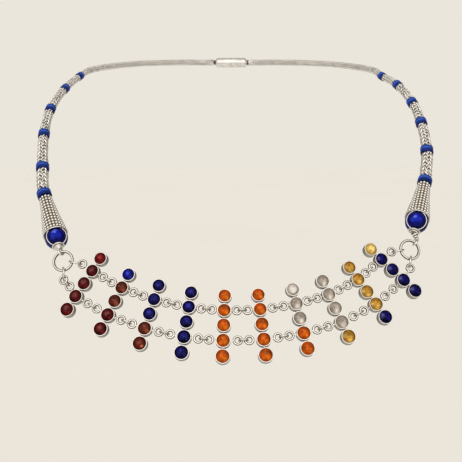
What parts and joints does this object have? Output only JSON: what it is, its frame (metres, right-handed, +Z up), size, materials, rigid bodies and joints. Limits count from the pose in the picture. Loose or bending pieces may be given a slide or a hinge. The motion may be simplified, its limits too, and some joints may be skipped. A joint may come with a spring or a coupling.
{
  "type": "bar choker",
  "caption": "Necklace of short bars of round bezel-set stones, linked side by side, with capped beads, granulated cones and banded woven cords that meet at a plain clasp.",
  "frame": {"origin": "the nape: the inner side of the clasp at the middle of the back, where the neck carries the necklace", "axes": "+X to the viewer's right, +Y away from the viewer, so the front faces -Y, +Z up"},
  "size_m": [0.1453, 0.1281, 0.1078],
  "materials": {
    "silver": "polished silver",
    "silver_woven": "woven and granulated silver, darkened in the hollows",
    "enamel_blue": "glossy blue enamel",
    "stone_blue": "polished deep blue stone",
    "stone_garnet": "polished garnet red stone",
    "stone_orange": "faceted orange stone",
    "stone_clear": "faceted colourless stone",
    "stone_yellow": "faceted yellow stone"
  },
  "bodies": {
    "root": {"ball_left": "stone_blue", "ball_right": "stone_blue", "ball_stone_left": "stone_blue", "ball_stone_right": "stone_blue", "bar_01": "silver", "bar_02": "silver", "bar_03": "silver", "bar_04": "silver", "bar_05": "silver", "bar_06": "silver", "bar_07": "silver", "bar_08": "silver", "bar_09": "silver", "bar_10": "silver", "cap_left": "silver", "cap_right": "silver", "clasp": "silver", "cone_left": "silver_woven", "cone_right": "silver_woven", "cord_left": "silver_woven", "cord_right": "silver_woven", "end_link_left_lower": "silver", "end_link_left_lower_2": "silver", "end_link_left_upper": "silver", "end_link_right_lower": "silver", "end_link_right_upper": "silver", "link_lower_01": "silver", "link_lower_02": "silver", "link_lower_03": "silver", "link_lower_04": "silver", "link_lower_05": "silver", "link_lower_06": "silver", "link_lower_07": "silver", "link_lower_08": "silver", "link_lower_09": "silver", "link_upper_01": "silver", "link_upper_02": "silver", "link_upper_03": "silver", "link_upper_04": "silver", "link_upper_05": "silver", "link_upper_06": "silver", "link_upper_07": "silver", "link_upper_08": "silver", "link_upper_09": "silver", "ring_left": "silver", "ring_right": "silver", "sleeve_left_1": "enamel_blue", "sleeve_left_2": "enamel_blue", "sleeve_left_3": "enamel_blue", "sleeve_left_4": "enamel_blue", "sleeve_left_5": "enamel_blue", "sleeve_left_6": "enamel_blue", "sleeve_right_1": "enamel_blue", "sleeve_right_2": "enamel_blue", "sleeve_right_3": "enamel_blue", "sleeve_right_4": "enamel_blue", "sleeve_right_5": "enamel_blue", "sleeve_right_6": "enamel_blue", "spare_ring_left": "silver"}
  },
  "joints": []
}
